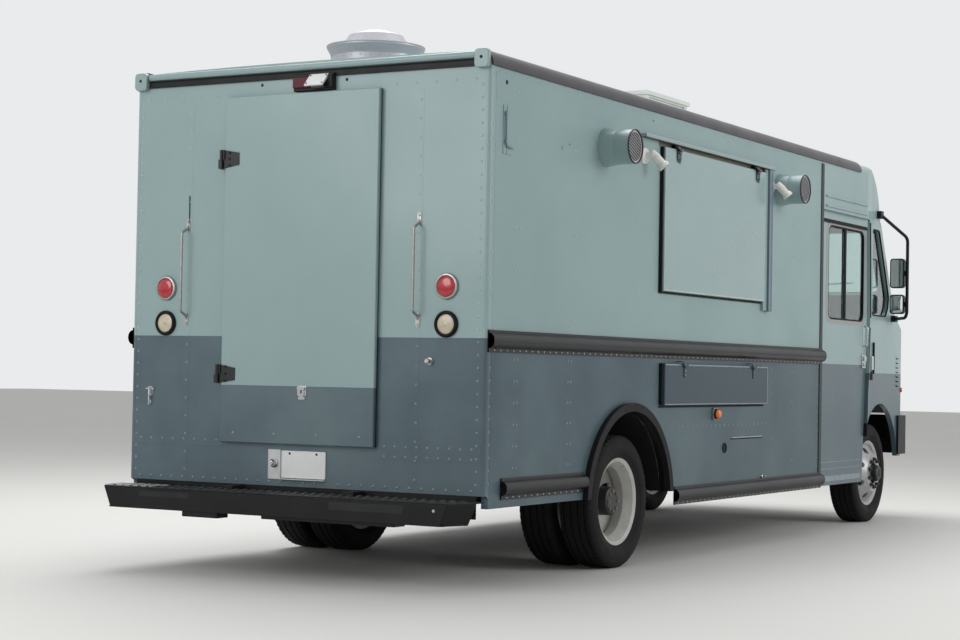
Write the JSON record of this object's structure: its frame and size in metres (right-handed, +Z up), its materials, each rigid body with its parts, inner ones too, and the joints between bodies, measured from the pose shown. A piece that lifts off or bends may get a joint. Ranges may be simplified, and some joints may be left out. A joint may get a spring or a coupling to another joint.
{
  "type": "food truck",
  "caption": "Walk-in step van turned food truck, with a side serving hatch, fold-down shelf, rear door, sliding cab doors, twin rear wheels and a roof exhaust fan.",
  "frame": {"origin": "on the ground, under the middle of the bounding box", "axes": "+X forward, +Y to the vehicle's left, +Z up"},
  "size_m": [7.645, 2.69, 3.2579],
  "materials": {
    "body_paint": "two-tone mint over slate paint on riveted aluminium",
    "black_trim": "satin black rubber, plastic and paint",
    "chassis_paint": "dull black chassis paint",
    "aluminium": "mill and brushed aluminium",
    "steel": "galvanised steel tube",
    "glass": "lightly tinted safety glass",
    "white_plastic": "white moulded plastic",
    "lamp_red": "red lens",
    "lamp_clear": "clear lens",
    "seat_vinyl": "black grained vinyl",
    "tyre": "black tyre rubber",
    "wheel_paint": "silver-white painted steel"
  },
  "bodies": {
    "root": {"left_wall": "body_paint", "right_wall": "body_paint", "rear_wall": "body_paint", "roof": "body_paint", "rub_rails": "black_trim", "wheel_wells": "black_trim", "load_floor": "aluminium", "bulkhead": "aluminium", "cab_floor": "aluminium", "cab_header": "body_paint", "cab_front": "body_paint", "cab_glass": "glass", "fenders": "body_paint", "nose_panel": "body_paint", "front_bumper": "black_trim", "door_tracks": "aluminium", "dash": "black_trim", "driver_seat": "seat_vinyl", "chassis_frame": "chassis_paint", "spring_hangers": "chassis_paint", "rear_axle": "chassis_paint", "front_axle": "chassis_paint", "engine_block": "chassis_paint", "fuel_tank": "chassis_paint", "exhaust_pipe": "steel", "rear_step": "black_trim", "roof_fan": "aluminium", "roof_vent": "white_plastic", "vent_pods": "body_paint", "spot_lamps": "white_plastic", "rear_lamps": "lamp_red", "head_lamps": "lamp_clear", "grab_handles": "steel", "mirrors": "black_trim"},
    "rear_door": {"rear_door": "body_paint"},
    "serving_hatch": {"serving_hatch": "body_paint"},
    "serving_shelf": {"serving_shelf": "body_paint"},
    "cab_door_left": {"cab_door_left": "body_paint", "door_glass_left": "glass"},
    "cab_door_right": {"cab_door_right": "body_paint", "door_glass_right": "glass"},
    "hood": {"hood": "body_paint"},
    "steering_wheel": {"steering_wheel": "black_trim"},
    "knuckle_left": {"knuckle_left": "chassis_paint"},
    "front_wheel_left": {"front_tyre_left": "tyre", "front_wheel_left": "wheel_paint"},
    "rear_wheels_left": {"rear_tyres_left": "tyre", "rear_wheels_left": "wheel_paint"},
    "knuckle_right": {"knuckle_right": "chassis_paint"},
    "front_wheel_right": {"front_tyre_right": "tyre", "front_wheel_right": "wheel_paint"},
    "rear_wheels_right": {"rear_tyres_right": "tyre", "rear_wheels_right": "wheel_paint"}
  },
  "joints": [
    {"name": "rear_door_hinge", "type": "hinge", "parent": "root", "child": "rear_door", "pos_m": [-3.5855, 0.53, 1.7], "axis": [0, 0, -1], "range_deg": [0, 110]},
    {"name": "hatch_hinge", "type": "hinge", "parent": "root", "child": "serving_hatch", "pos_m": [-0.5675, -1.224, 2.555], "axis": [-1, 0, 0], "range_deg": [0, 90]},
    {"name": "shelf_hinge", "type": "hinge", "parent": "root", "child": "serving_shelf", "pos_m": [-0.5125, -1.228, 1.221], "axis": [-1, 0, 0], "range_deg": [0, 90]},
    {"name": "cab_door_left_slide", "type": "slide", "parent": "root", "child": "cab_door_left", "axis": [-1, 0, 0], "range_m": [0, 0.95]},
    {"name": "cab_door_right_slide", "type": "slide", "parent": "root", "child": "cab_door_right", "axis": [-1, 0, 0], "range_m": [0, 0.95]},
    {"name": "hood_hinge", "type": "hinge", "parent": "root", "child": "hood", "pos_m": [3.4205, 0, 1.694], "axis": [0, -1, 0], "range_deg": [0, 55]},
    {"name": "steer_right", "type": "hinge", "parent": "root", "child": "knuckle_right", "pos_m": [3.0025, -0.815, 0.395], "axis": [0, 0, 1], "range_deg": [-35, 35]},
    {"name": "steer_left", "type": "hinge", "parent": "root", "child": "knuckle_left", "pos_m": [3.0025, 0.815, 0.395], "axis": [0, 0, 1], "range_deg": [-35, 35]},
    {"name": "steering_wheel_turn", "type": "hinge", "parent": "root", "child": "steering_wheel", "pos_m": [2.5925, 0.42, 1.33], "axis": [-0.5736, 0, 0.8192], "range_deg": [-530, 530]},
    {"name": "front_wheel_left_spin", "type": "hinge", "parent": "knuckle_left", "child": "front_wheel_left", "pos_m": [3.0025, 0.95, 0.395], "axis": [0, 1, 0], "continuous": true},
    {"name": "rear_wheels_left_spin", "type": "hinge", "parent": "root", "child": "rear_wheels_left", "pos_m": [-1.8275, 0.902, 0.395], "axis": [0, 1, 0], "continuous": true},
    {"name": "front_wheel_right_spin", "type": "hinge", "parent": "knuckle_right", "child": "front_wheel_right", "pos_m": [3.0025, -0.95, 0.395], "axis": [0, 1, 0], "continuous": true},
    {"name": "rear_wheels_right_spin", "type": "hinge", "parent": "root", "child": "rear_wheels_right", "pos_m": [-1.8275, -0.902, 0.395], "axis": [0, 1, 0], "continuous": true}
  ],
  "couplings": [
    {"joint": "steer_left", "follows": "steer_right", "ratio": 1},
    {"joint": "steering_wheel_turn", "follows": "steer_right", "ratio": 15}
  ]
}
